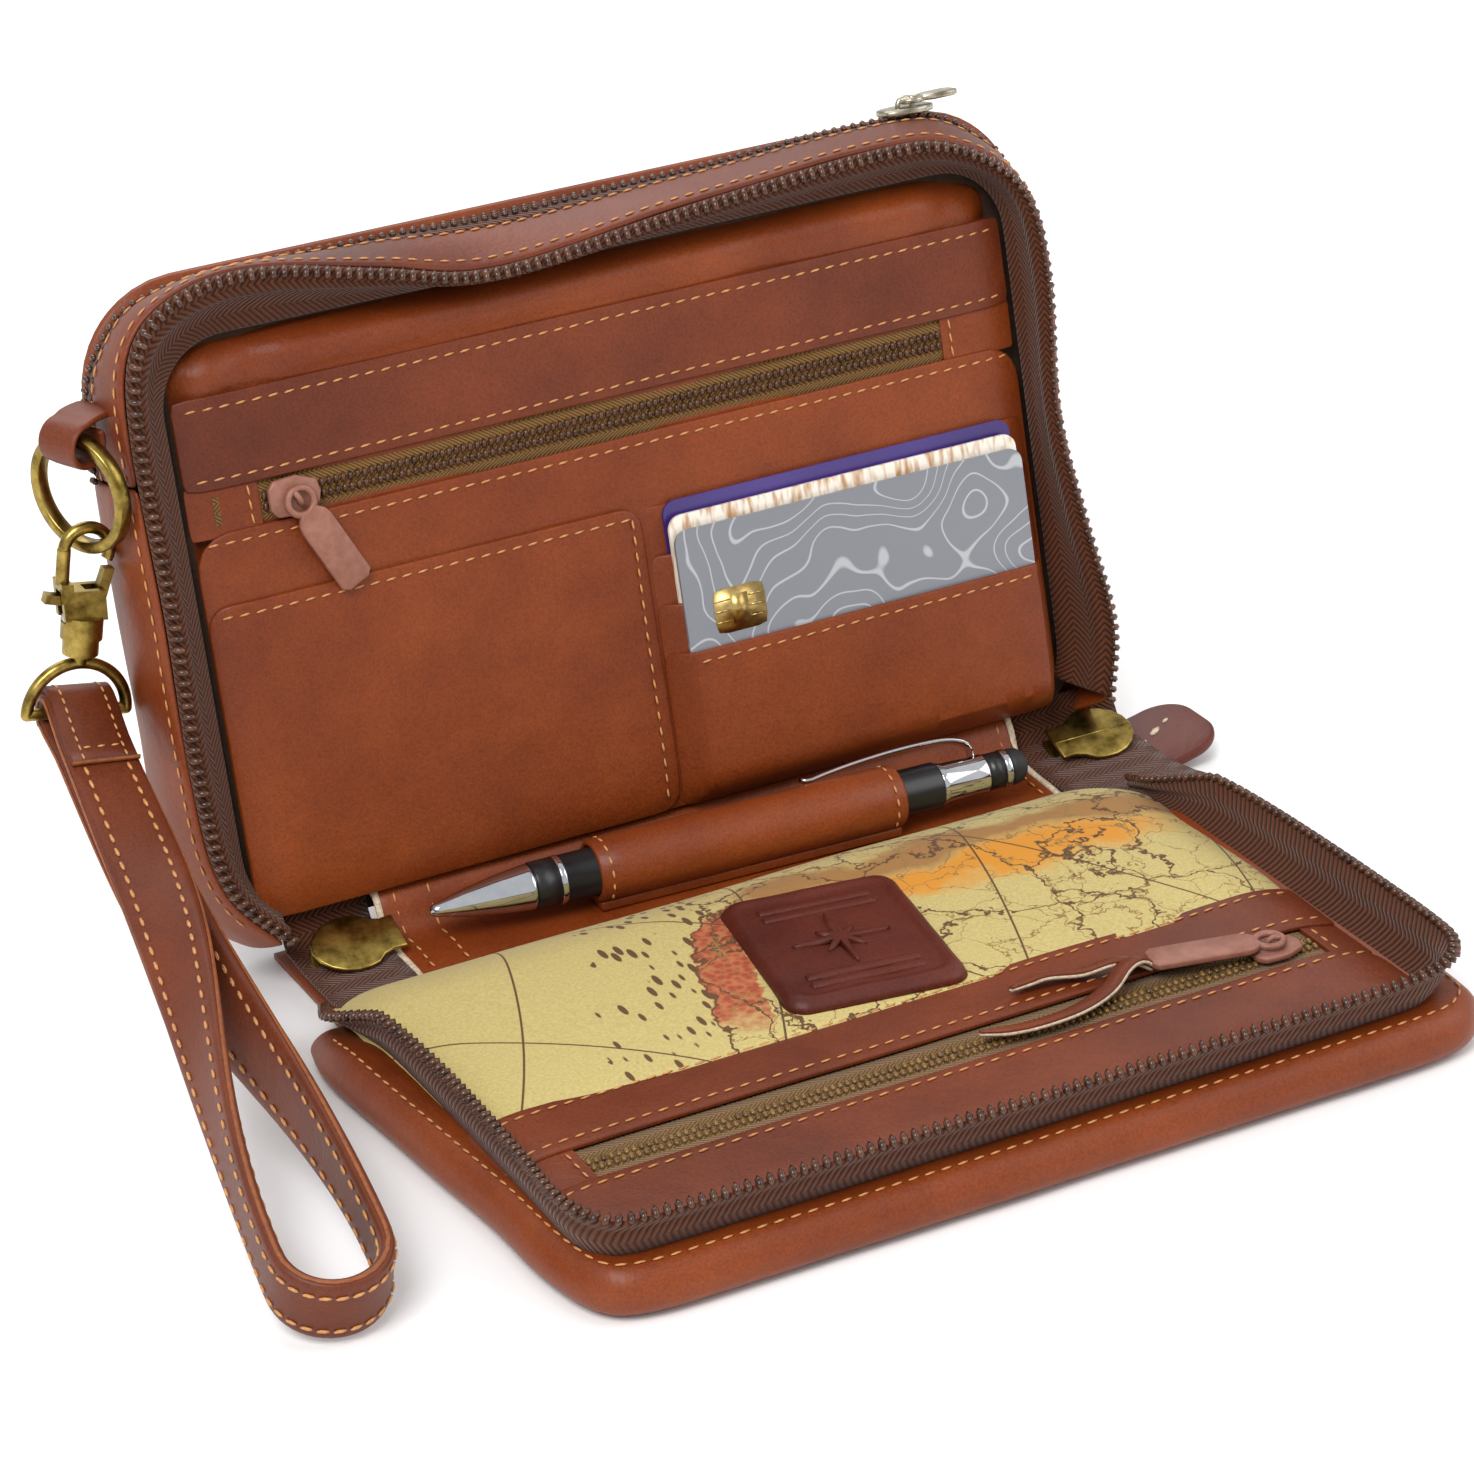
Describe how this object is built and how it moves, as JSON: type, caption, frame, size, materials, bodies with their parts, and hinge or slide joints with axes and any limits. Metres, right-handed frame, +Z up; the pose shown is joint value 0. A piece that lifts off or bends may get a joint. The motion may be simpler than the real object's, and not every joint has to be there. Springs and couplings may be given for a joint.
{
  "type": "travel document organizer",
  "caption": "Zip-around leather travel organizer, open in an L, with card slots, zip pockets, pen sleeve and a clip-on wrist strap.",
  "frame": {"origin": "on the resting face, half-way along the fold, below the foot of the pocket panel", "axes": "+X to the right along the fold, +Y to the back behind the case, +Z up"},
  "size_m": [0.2762, 0.2097, 0.149],
  "materials": {
    "leather": "smooth semi-matte cowhide",
    "leather_dark": "smooth cut leather strips",
    "board": "stiffener board",
    "padding": "foam padding",
    "lining": "plain woven lining",
    "print": "printed cotton with map lines",
    "zip_tape": "woven polyester tape",
    "pocket_tape": "woven polyester tape",
    "zip_teeth": "nylon coil",
    "antique_brass": "antiqued",
    "nickel": "worn plating",
    "painted_pull": "satin brown enamel",
    "spring_steel": "bright",
    "card_violet": "gloss",
    "card_white": "gloss",
    "card_grey": "gloss",
    "pen_black": "gloss",
    "pen_chrome": "polished"
  },
  "bodies": {
    "case": {"back_panel": "leather", "back_stiffener": "board", "partition_lining": "lining", "top_strip": "leather_dark", "side_gusset_left": "leather", "side_gusset_right": "leather", "back_zip_tape": "zip_tape", "back_zip_teeth": "zip_teeth", "main_zip_tape_case": "zip_tape", "main_zip_teeth_case": "zip_teeth", "pocket_panel": "leather", "panel_facing": "leather", "upper_slip_pocket": "leather", "window_end_leather": "leather", "case_zip_tape": "pocket_tape", "case_zip_coil": "zip_teeth", "id_pocket": "leather", "card_tier_1": "leather", "card_tier_2": "leather", "card_tier_3": "leather", "card_tier_4": "leather", "spine_leather": "leather", "spine_liner": "leather_dark", "pen_sleeve": "leather", "strap_tab": "leather", "grab_tab": "leather"},
    "slider_left": {"main_slider_left": "antique_brass"},
    "slider_right": {"main_slider_right": "antique_brass"},
    "back_slider_body": {"back_slider": "nickel"},
    "back_pull_body": {"back_pull": "nickel"},
    "case_slider_body": {"case_slider": "painted_pull"},
    "case_pull_body": {"case_pull": "painted_pull"},
    "flap_slider_body": {"flap_slider": "painted_pull"},
    "flap_pull_body": {"flap_pull": "painted_pull"},
    "ring": {"strap_ring": "antique_brass"},
    "hook": {"snap_hook": "antique_brass", "gate_spring": "spring_steel"},
    "gate": {"hook_gate": "antique_brass"},
    "eye": {"swivel_eye": "antique_brass"},
    "strap": {"wrist_strap": "leather"},
    "card_1": {"card_back": "card_violet"},
    "card_2": {"card_middle": "card_white"},
    "card_3": {"card_front": "card_grey"},
    "pen": {"pen_barrel": "pen_black", "pen_clip": "pen_chrome"},
    "flap": {"flap_shell": "leather", "flap_padding": "padding", "flap_lining": "print", "flap_band": "leather_dark", "flap_facing": "leather_dark", "flap_zip_tape": "pocket_tape", "flap_zip_coil": "zip_teeth", "flap_patch": "leather_dark", "main_zip_tape_flap": "zip_tape", "main_zip_teeth_flap": "zip_teeth"}
  },
  "joints": [
    {"name": "flap_hinge", "type": "hinge", "parent": "case", "child": "flap", "pos_m": [0, -0.027, 0.0008], "axis": [1, 0, 0], "range_deg": [-84, 0]},
    {"name": "slider_left_run", "type": "slide", "parent": "case", "child": "slider_left", "axis": [1, 0, 0], "range_m": [-0.006, 0]},
    {"name": "slider_right_run", "type": "slide", "parent": "case", "child": "slider_right", "axis": [-1, 0, 0], "range_m": [-0.006, 0]},
    {"name": "back_slider_run", "type": "slide", "parent": "case", "child": "back_slider_body", "axis": [1, 0, 0], "range_m": [-0.165, 0]},
    {"name": "back_pull_swing", "type": "hinge", "parent": "back_slider_body", "child": "back_pull_body", "pos_m": [0.084, 0.04126, 0.14715], "axis": [0, -0.9781, 0.2079], "range_deg": [0, 160]},
    {"name": "case_slider_run", "type": "slide", "parent": "case", "child": "case_slider_body", "axis": [-1, 0, 0], "range_m": [-0.145, 0]},
    {"name": "case_pull_swing", "type": "hinge", "parent": "case_slider_body", "child": "case_pull_body", "pos_m": [-0.075, 0.01558, 0.10088], "axis": [-0.8988, -0.0911, -0.4288], "range_deg": [0, 110]},
    {"name": "flap_slider_run", "type": "slide", "parent": "flap", "child": "flap_slider_body", "axis": [1, 0, 0], "range_m": [-0.1, 0]},
    {"name": "flap_pull_swing", "type": "hinge", "parent": "flap_slider_body", "child": "flap_pull_body", "pos_m": [0.076, -0.1185, 0.0148], "axis": [0, 1, 0], "range_deg": [0, 120]},
    {"name": "ring_swing", "type": "hinge", "parent": "case", "child": "ring", "pos_m": [-0.118, 0.0245, 0.1198], "axis": [0.4226, -0.9063, 0], "range_deg": [-70, 0]},
    {"name": "hook_swing", "type": "hinge", "parent": "ring", "child": "hook", "pos_m": [-0.118, 0.0245, 0.0972], "axis": [0.4226, -0.9063, 0], "range_deg": [-20, 0]},
    {"name": "gate_open", "type": "hinge", "parent": "hook", "child": "gate", "pos_m": [-0.12003, 0.0245, 0.08283], "axis": [0, 1, 0], "range_deg": [-18, 0]},
    {"name": "eye_swivel", "type": "hinge", "parent": "hook", "child": "eye", "pos_m": [-0.118, 0.0245, 0.0972], "axis": [0.1736, 0, 0.9848], "range_deg": [-90, 0]},
    {"name": "strap_lift", "type": "hinge", "parent": "eye", "child": "strap", "pos_m": [-0.12434, 0.0245, 0.06125], "axis": [0.9848, 0, -0.1736], "range_deg": [-60, 0]},
    {"name": "card_1_draw", "type": "slide", "parent": "case", "child": "card_1", "axis": [0, 0.2079, 0.9781], "range_m": [0, 0.05]},
    {"name": "card_2_draw", "type": "slide", "parent": "case", "child": "card_2", "axis": [0, 0.2079, 0.9781], "range_m": [0, 0.05]},
    {"name": "card_3_draw", "type": "slide", "parent": "case", "child": "card_3", "axis": [0, 0.2079, 0.9781], "range_m": [0, 0.05]},
    {"name": "pen_draw", "type": "slide", "parent": "case", "child": "pen", "axis": [0.9986, -0.0523, 0], "range_m": [0, 0.11]}
  ]
}
